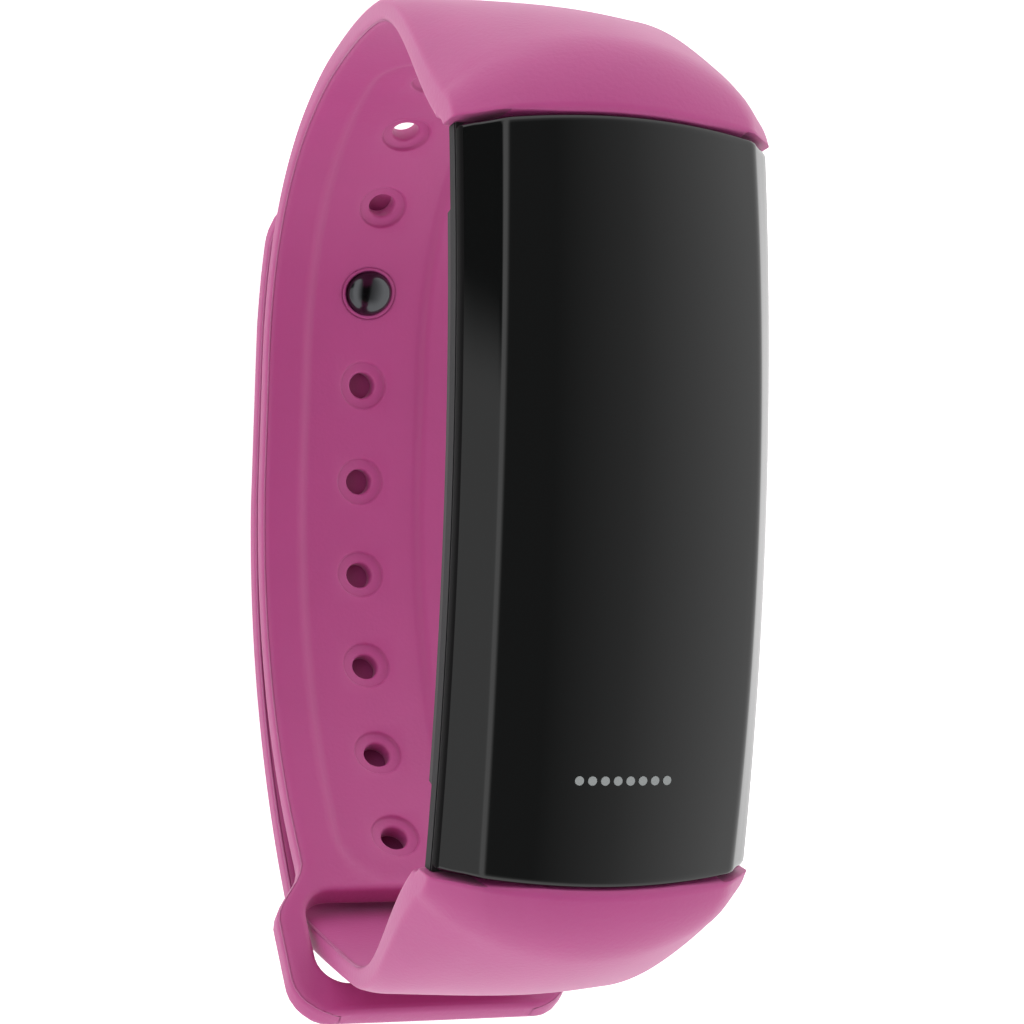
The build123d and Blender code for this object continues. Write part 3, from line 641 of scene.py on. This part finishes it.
for entry in frame["record"]["subparts"]:
    node_mesh = frame["nodes"][entry["node"]].data
    if node_mesh.materials:
        node_mesh.materials[0] = finishes[entry["material_slot"]]
    else:
        node_mesh.materials.append(finishes[entry["material_slot"]])

# ---- Upper strap with its holes, groove and ring ----

upper_carry = on_strap(1, UPPER_LEGS)
lower_carry = on_strap(-1, LOWER_LEGS)
hole_at = FIRST_HOLE + HOLE_PITCH * np.arange(HOLE_COUNT)
latch_at = hole_at[LATCHED_HOLE]
ring_start = sum(leg_length(leg) for leg in UPPER_LEGS[:-1])
upper_end = ring_start + RING_LENGTH


def end_bow(across):
    """How far the lens's end is set back: a parabola over the flat face, level beyond it."""
    return LENS_END_BOW * np.minimum(np.abs(across) / LENS_FLAT_HALF, 1) ** 2


def seam_shift(distance, across):
    """Shift of distances near the module, so that the strap meets the lens's bowed end."""
    return -end_bow(across) * fade(distance, 0, SEAM_BLEND)


def ring_trim(distance):
    """Negative where the strap widens into the ring, and positive again at the ring's rounded corners."""
    along = distance - ring_start
    wider = (RING_HALF_WIDTH - STRAP_HALF_WIDTH) * step_up((along - RING_FLARE_START) / RING_FLARE_LENGTH)
    past = np.clip(along - (RING_LENGTH - RING_ROUND), 0, RING_ROUND)
    return RING_ROUND - np.sqrt(RING_ROUND**2 - past**2) - wider


block_rows = [v for at in hole_at for v in (at - MIDDLE_HALF, at + MIDDLE_HALF)]
ring_rows = [ring_start + v for v in (RING_OPENING_START - RING_PATCH, RING_OPENING_END + RING_PATCH)]
end_rows = round_rows(upper_end, RING_ROUND, (40, 55, 68)) + round_rows(upper_end, END_ROUND, (0, 30, 60, 90))
fixed_rows = [SEAM_GAP] + block_rows + ring_rows + sorted(end_rows)
upper_rows = even_rows(fixed_rows, UPPER_STEP)
shape = strap_shape(upper_rows, STRAP_THICKNESS, UPPER_NARROW_END, ring_trim(upper_rows))
columns = section_columns(shape)
under = slice(UNDER_MIDDLE - TOP_COLUMNS, UNDER_MIDDLE + TOP_COLUMNS + 1)
columns[under, :, 1] += groove_rise(upper_rows, columns[under, :, 0], hole_at[0], hole_at[-1])
squeeze_end(columns, upper_rows, upper_end, STRAP_THICKNESS)


def row_of(distance):
    """Number of the row nearest to a distance."""
    return int(np.argmin(np.abs(upper_rows - distance)))


blocks = [(row_of(at - MIDDLE_HALF), row_of(at + MIDDLE_HALF), MIDDLE_CELLS) for at in hole_at]
ring_block = (row_of(ring_rows[0]), row_of(ring_rows[1]), TOP_COLUMNS)
upper = Shell()
shift = seam_shift(upper_rows, columns[..., 0])
numbers = tube(upper, upper_carry, upper_rows, columns, blocks + [ring_block], shift)
cap(upper, numbers[0], first=True)
cap(upper, numbers[-1])

for at, (first_row, last_row, half_columns) in zip(hole_at, blocks):
    rows, places = sheet_loop(first_row, last_row, half_columns)
    top_loop, under_loop = numbers[rows, places], numbers[rows, UNDER_MIDDLE - places]
    turns = np.arctan2(columns[places, rows, 0], upper_rows[rows] - at)
    under_up = -STRAP_THICKNESS + GROOVE_DEPTH
    latched = at == latch_at
    radius = LATCH_RADIUS if latched else HOLE_RADIUS
    top_profile = [(radius + 0.3, 0.0), (radius + 0.18, -0.01), (radius + 0.05, -0.06), (radius, -0.18)]
    floor = under_up + RECESS_DEPTH
    if latched:
        under_profile = [(radius, floor - 0.05), (radius + 0.05, under_up + 0.02), (radius + 0.2, under_up)]
    else:
        under_profile = [(radius, floor + 0.2), (radius + 0.05, floor + 0.06), (radius + 0.2, floor)]
        under_profile += [(RECESS_RADIUS - 0.14, floor), (RECESS_RADIUS - 0.03, floor - 0.05)]
        under_profile += [(RECESS_RADIUS, under_up + 0.09), (RECESS_RADIUS + 0.05, under_up + 0.03)]
        under_profile += [(RECESS_RADIUS + 0.16, under_up)]
    rings = []
    for ring_radius, up in top_profile + under_profile:
        ring = [at + ring_radius * np.cos(turns), ring_radius * np.sin(turns), np.full(len(turns), up)]
        rings.append(np.stack(ring, -1))
    line_with_rings(upper, upper_carry, top_loop, under_loop, rings)

rows, places = sheet_loop(*ring_block)
top_loop, under_loop = numbers[rows, places], numbers[rows, UNDER_MIDDLE - places]
outline = np.stack([upper_rows[rows], columns[places, rows, 0]], -1)
opening_middle = ring_start + (RING_OPENING_START + RING_OPENING_END) / 2
opening_size = np.array([(RING_OPENING_END - RING_OPENING_START) / 2, RING_OPENING_HALF])
along_share = (outline[:, 0] - ring_rows[0]) / (ring_rows[1] - ring_rows[0]) * 2 - 1
shares = np.stack([along_share, places / TOP_COLUMNS], -1)


def opening_loop(wider):
    """Rectangle of the opening, made wider all round, with its corners pushed out to circular arcs."""
    flat_points = shares * (opening_size + wider)
    inner = np.clip(flat_points, -(opening_size - RING_OPENING_ROUND), opening_size - RING_OPENING_ROUND)
    out = flat_points - inner
    size = np.linalg.norm(out, axis=-1, keepdims=True)
    return inner + out / np.maximum(size, 1e-9) * (RING_OPENING_ROUND + wider) + np.array([opening_middle, 0])


# Rounded edge of the opening: how much wider each ring is, and how far under the face
OPENING_EDGE = [(0.5, 0), (0.32, 0), (0.12, 0.06), (0.02, 0.18), (0, 0.35)]
edge_rings = [(wider, -depth) for wider, depth in OPENING_EDGE]
edge_rings += [(wider, -STRAP_THICKNESS + depth) for wider, depth in OPENING_EDGE[::-1]]
rings = []
for wider, up in edge_rings:
    loop = opening_loop(wider)
    rings.append(np.stack([loop[:, 0], loop[:, 1], np.full(len(loop), up)], -1))
line_with_rings(upper, upper_carry, top_loop, under_loop, rings)
upper.finish("upper_strap_skin", "band", tpu, ["upper_strap"])

# ---- Lower strap and tail, one soft piece ----

base_length = sum(leg_length(leg) for leg in LOWER_LEGS[:BASE_LEG_COUNT])
flat_end = sum(leg_length(leg) for leg in LOWER_LEGS[:-2])
back_leg, corner_leg = LOWER_LEGS[-2:]
latch_turned = math.pi - float(outer_line(UPPER_LEGS, np.array([latch_at]))[2][0])
back_turn = math.radians(back_leg[0])
tail_latch = flat_end + min(latch_turned, back_turn) * back_leg[1]
tail_latch += max(0.0, latch_turned - back_turn) * corner_leg[1]
tail_end = tail_latch + TIP_LENGTH
end_rows = round_rows(tail_end, TIP_ROUND, (0, 12, 22, 32, 42, 51, 60))
end_rows += round_rows(tail_end, END_ROUND, (0, 25, 50, 70, 90))
lower_rows = even_rows([SEAM_GAP] + sorted(end_rows), LOWER_STEP)
past = np.clip(lower_rows - (tail_end - TIP_ROUND), 0, TIP_ROUND)
tip_trim = TIP_ROUND - np.sqrt(TIP_ROUND**2 - past**2)
shape = strap_shape(lower_rows, TAIL_THICKNESS, LOWER_NARROW_END, tip_trim)
columns = section_columns(shape)
squeeze_end(columns, lower_rows, tail_end, TAIL_THICKNESS)


def rest_carry(distance, across, up):
    """Carrier of the lower strap, flattened where it rests on the ground."""
    points = lower_carry(distance, across, up)
    points[..., 2] = np.maximum(points[..., 2], 0)
    return points


lower = Shell()
numbers = tube(lower, rest_carry, lower_rows, columns, shift=seam_shift(lower_rows, columns[..., 0]))
cap(lower, numbers[0], first=True)
cap(lower, numbers[-1])
lower_skin = lower.finish("lower_strap_skin", None, tpu, ["lower_strap", "strap_tail"])
ahead = Vector(lower_carry(base_length + 1.0, 0.0, 0.0)) - Vector(lower_carry(base_length - 1.0, 0.0, 0.0))
ahead.normalize()
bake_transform(lower_skin)

# ---- Stud and the soft rim of the latched hole ----

lip_depth = STRAP_THICKNESS - GROOVE_DEPTH - RECESS_DEPTH
head_base = -(lip_depth + STUD_GAP)
head_top = head_base - STUD_HEAD_HEIGHT
dome_height = STUD_HEAD_HEIGHT - STUD_EDGE
dome_turns = np.radians(np.linspace(84, 0, 12))
dome_up = head_base - STUD_EDGE - dome_height * np.sin(dome_turns)
dome = list(zip(STUD_HEAD_RADIUS * np.cos(dome_turns), dome_up))
neck_end = TAIL_THICKNESS + TAIL_GAP - CAP_DEPTH
profile = dome + arc_profile(STUD_HEAD_RADIUS - 0.1, head_base - 0.1, 0.1, 0, 90, 4)
profile += [(STUD_NECK_RADIUS + 0.1, head_base), (STUD_NECK_RADIUS, head_base + 0.1)]
profile.append((STUD_NECK_RADIUS, neck_end))
stud = Shell()
stud_rows = round_profile(stud, upper_carry, latch_at, profile)
close_pole(stud, upper_carry, latch_at, head_top, stud_rows[0], flip=True)
close_pole(stud, upper_carry, latch_at, neck_end, stud_rows[-1])
stud.finish("stud_polished", "tail", stud_metal, ["stud"])

rim = Shell()
rim_low = -STRAP_THICKNESS + GROOVE_DEPTH + 0.04
seat = STUD_HEAD_RADIUS + 0.07
ring_profile = arc_profile(STUD_NECK_RADIUS + 0.3, -0.3, 0.2, 180, 90, 5)
ring_profile += arc_profile(LATCH_RADIUS - 0.15, -0.27, 0.17, 90, 0, 5)
ring_profile += arc_profile(LATCH_RADIUS - 0.08, rim_low + 0.1, 0.1, 0, -90, 4)
ring_profile += arc_profile(seat + 0.08, rim_low + 0.08, 0.08, -90, -180, 4)
ring_profile += [(seat, -lip_depth), (STUD_NECK_RADIUS + 0.2, -lip_depth)]
ring_profile.append((STUD_NECK_RADIUS + 0.1, -lip_depth + 0.1))
ring_profile.append(ring_profile[0])
round_profile(rim, upper_carry, latch_at, ring_profile)
rim.finish("latch_rim_skin", "band", tpu, ["latch_lip"])

# ---- Lens: a gloss shell along the module's arch, its ends bowed outwards ----

LENS_END_ROUND = 0.35
LENS_END_INSET = 0.25
LENS_SIDE, LENS_FOOT = 0.75, 9.6
LENS_CREASE, LENS_EDGE = 0.35, 0.22
lens_end = LENS_ARC - 0.02
half_rows = list(np.linspace(0, lens_end - 0.6, 36)) + round_rows(lens_end, LENS_END_ROUND, (0, 25, 50, 90))
half_rows = np.array(half_rows)
lens_rows = np.concatenate([-half_rows[:0:-1], half_rows])
past = np.clip(1 - (lens_end - np.abs(lens_rows)) / LENS_END_ROUND, 0, 1)
inset = LENS_END_INSET * (1 - np.sqrt(1 - past**2))
bow = LENS_BOW * (1 - (lens_rows / lens_end) ** 2)
level = np.ones_like(lens_rows)
columns = section_columns({
    "half": (LENS_HALF_WIDTH - inset) * level,
    "flat": LENS_FLAT_HALF + bow - inset,
    "crown": LENS_CROWN * level,
    "drop": LENS_EDGE_DROP * level,
    "side": LENS_SIDE * level,
    "foot": LENS_FOOT * level,
    "bottom": LENS_RIM * level,
    "thickness": LENS_RIM * level,
    "crease": LENS_CREASE * level,
    "edge": LENS_EDGE,
})
columns[..., 1] -= inset * (columns[..., 1] > -LENS_RIM / 2)
bowed_ends = -end_bow(columns[..., 0]) * lens_rows / lens_end
lens = Shell()
numbers = tube(lens, on_arch, lens_rows, columns, shift=bowed_ends)
cap(lens, numbers[0], first=True)
cap(lens, numbers[-1])
lens_skin = lens.finish("lens_gloss_shell", "band", lens_acrylic, ["lens"])
lens_skin.data.materials.append(lens_edge_ink)
middles = np.zeros(3 * len(lens_skin.data.polygons))
lens_skin.data.polygons.foreach_get("center", middles)
on_edge = np.abs(middles[::3]) > (LENS_HALF_WIDTH - 0.15) * MM
lens_skin.data.polygons.foreach_set("material_index", on_edge.astype(np.int32))

# ---- Tongues that hold the straps to the case, mostly hidden under the straps ----

TONGUE_PLACES = ((-8.4, -6.15), (-2.85, 2.85), (6.15, 8.4))
TONGUE_ROUND, HEEL_ROUND = 0.3, 0.2


def rounded_block(name, low, high, side, round_size):
    """Box between two corners in arch coordinates (distance, across, up), with rounded edges."""
    corners = np.array(np.meshgrid(*zip(low, high), indexing="ij")).reshape(3, -1)
    block = Shell()
    block.add_points(on_arch(side * corners[0], corners[1], corners[2]))
    quads = np.array([[0, 1, 3, 2], [4, 6, 7, 5], [0, 4, 5, 1], [2, 3, 7, 6], [0, 2, 6, 4], [1, 5, 7, 3]])
    block.add_quads(quads[:, ::-1] if side > 0 else quads)
    piece = block.finish(name, "band", tpu)
    bevel = piece.modifiers.new("rounded edges", "BEVEL")
    bevel.width, bevel.segments, bevel.limit_method = round_size * MM, 3, "NONE"


for side, word in ((1, "upper"), (-1, "lower")):
    for place, (low_x, high_x) in enumerate(TONGUE_PLACES, 1):
        low, high = (TONGUE_START, low_x, -TONGUE_LOW), (LENS_ARC + HEEL_LENGTH, high_x, -TONGUE_HIGH)
        rounded_block(f"tongue_{word}_{place}", low, high, side, TONGUE_ROUND)
    low = (LENS_ARC + SEAM_GAP, -HEEL_HALF, -TONGUE_LOW)
    high = (LENS_ARC + HEEL_LENGTH, HEEL_HALF, -HEEL_HIGH)
    rounded_block(f"heel_{word}", low, high, side, HEEL_ROUND)

# ---- Light tent, floor and camera ----

world = bpy.data.worlds.new("light_tent")
bpy.context.scene.world = world
world.use_nodes = True
tree = world.node_tree
tree.nodes.clear()
sky = add_node(tree, "ShaderNodeTexCoord").outputs["Generated"]
parts = add_node(tree, "ShaderNodeSeparateXYZ", {"Vector": sky})
lean = add_node(tree, "ShaderNodeMath", operation="ARCTAN2")
tree.links.new(parts.outputs["X"], lean.inputs[0])
tree.links.new(parts.outputs["Z"], lean.inputs[1])
quarter = math.pi / 2
lean_range = {"Value": lean.outputs[0], "From Min": -quarter, "From Max": quarter}
share = add_node(tree, "ShaderNodeMapRange", lean_range)
tent = add_node(tree, "ShaderNodeValToRGB", {"Fac": share.outputs["Result"]})
# Brightness of the tent at each lean from straight up, in degrees: white walls, greyer low on the left,
# and a dark strip overhead
TENT = [(-90, 0.55), (-62, 0.62), (-50, 1.0), (-30, 0.95), (-12, 0.15), (-7, 0.11)]
TENT += [(5, 0.11), (24, 0.35), (40, 0.68), (55, 1.0), (90, 1.0)]
stops = tent.color_ramp.elements
while len(stops) < len(TENT):
    stops.new(0.5)
for stop, (degrees, _) in zip(stops, TENT):
    stop.position = (degrees + 90) / 180
for stop, (_, value) in zip(stops, TENT):
    stop.color = (value, value, value, 1)
along = add_node(tree, "ShaderNodeMath", operation="ABSOLUTE")
tree.links.new(parts.outputs["Y"], along.inputs[0])
beyond = add_node(tree, "ShaderNodeMapRange", {"Value": along.outputs[0], "From Min": 0.5, "From Max": 0.8})
light = add_node(tree, "ShaderNodeMix", {"Factor": beyond.outputs["Result"]}, data_type="RGBA")
tree.links.new(tent.outputs["Color"], light.inputs[6])
light.inputs[7].default_value = (0.95, 0.95, 0.95, 1)
# A dark card closes the far part of the tent's left side, low down
far = add_node(tree, "ShaderNodeMapRange", {"Value": parts.outputs["Y"], "From Min": 0.1, "From Max": 0.2})
far.interpolation_type = "SMOOTHSTEP"
left_range = {"Value": parts.outputs["X"], "From Min": -0.75, "From Max": -0.85}
left = add_node(tree, "ShaderNodeMapRange", left_range)
card = add_node(tree, "ShaderNodeMath", operation="MULTIPLY")
tree.links.new(far.outputs["Result"], card.inputs[0])
tree.links.new(left.outputs["Result"], card.inputs[1])
shaded = add_node(tree, "ShaderNodeMix", {"Factor": card.outputs[0]}, data_type="RGBA")
tree.links.new(light.outputs[2], shaded.inputs[6])
shaded.inputs[7].default_value = (0.06, 0.06, 0.06, 1)
# The tent itself stays out of sight: behind the floor there is plain white
straight_look = add_node(tree, "ShaderNodeLightPath").outputs["Is Camera Ray"]
seen = add_node(tree, "ShaderNodeMix", {"Factor": straight_look}, data_type="RGBA")
tree.links.new(shaded.outputs[2], seen.inputs[6])
seen.inputs[7].default_value = (0.95, 0.95, 0.95, 1)
background = add_node(tree, "ShaderNodeBackground", {"Color": seen.outputs[2], "Strength": TENT_STRENGTH})
add_node(tree, "ShaderNodeOutputWorld", {"Surface": background.outputs["Background"]})

floor_mesh = bpy.data.meshes.new("pale_floor")
corners = ((-1, -1), (1, -1), (1, 1), (-1, 1))
floor_points = [(x * FLOOR_HALF_M, y * FLOOR_HALF_M, -FLOOR_GAP_M) for x, y in corners]
floor_mesh.from_pydata(floor_points, [], [(0, 1, 2, 3)])
floor = bpy.data.objects.new("pale_floor", floor_mesh)
bpy.context.scene.collection.objects.link(floor)
# White acrylic sheet lit from below, as in a light tent
sheet = surface("opal_acrylic_sheet", "#F4F4F4", 5.0, 0.0, mottle=0.0, Roughness=0.9, Emission_Strength=0.55)
sheet.node_tree.nodes["Principled BSDF"].inputs["Emission Color"].default_value = (1, 1, 1, 1)
floor_mesh.materials.append(sheet)

CAMERA_LEAN, CAMERA_PITCH, CAMERA_ROLL = (math.radians(v) for v in (22.0, -0.6676, 1.8518))
CAMERA_DISTANCE = 147.655
CAMERA_LENS, CAMERA_SENSOR = 91.31, 36
level = math.cos(CAMERA_PITCH)
back = Vector((-math.sin(CAMERA_LEAN) * level, math.sin(CAMERA_PITCH), math.cos(CAMERA_LEAN) * level))
level_right = Vector((0, 1, 0)).cross(back).normalized()
level_up = back.cross(level_right)
right = level_right * math.cos(CAMERA_ROLL) + level_up * math.sin(CAMERA_ROLL)
upward = level_up * math.cos(CAMERA_ROLL) - level_right * math.sin(CAMERA_ROLL)
target = Vector((-7.946, MODULE_Y - 0.864, TOP_Z - 0.001))
camera_data = bpy.data.cameras.new("camera")
camera_data.lens, camera_data.sensor_width = CAMERA_LENS, CAMERA_SENSOR
camera_data.clip_start, camera_data.clip_end = 0.005, 20
camera = bpy.data.objects.new("camera", camera_data)
bpy.context.scene.collection.objects.link(camera)
turn = Matrix((right, upward, back)).transposed().to_4x4()
camera.matrix_world = Matrix.Translation((target + back * CAMERA_DISTANCE) * MM) @ turn
bpy.context.scene.camera = camera
bpy.context.scene.view_settings.view_transform = "Standard"
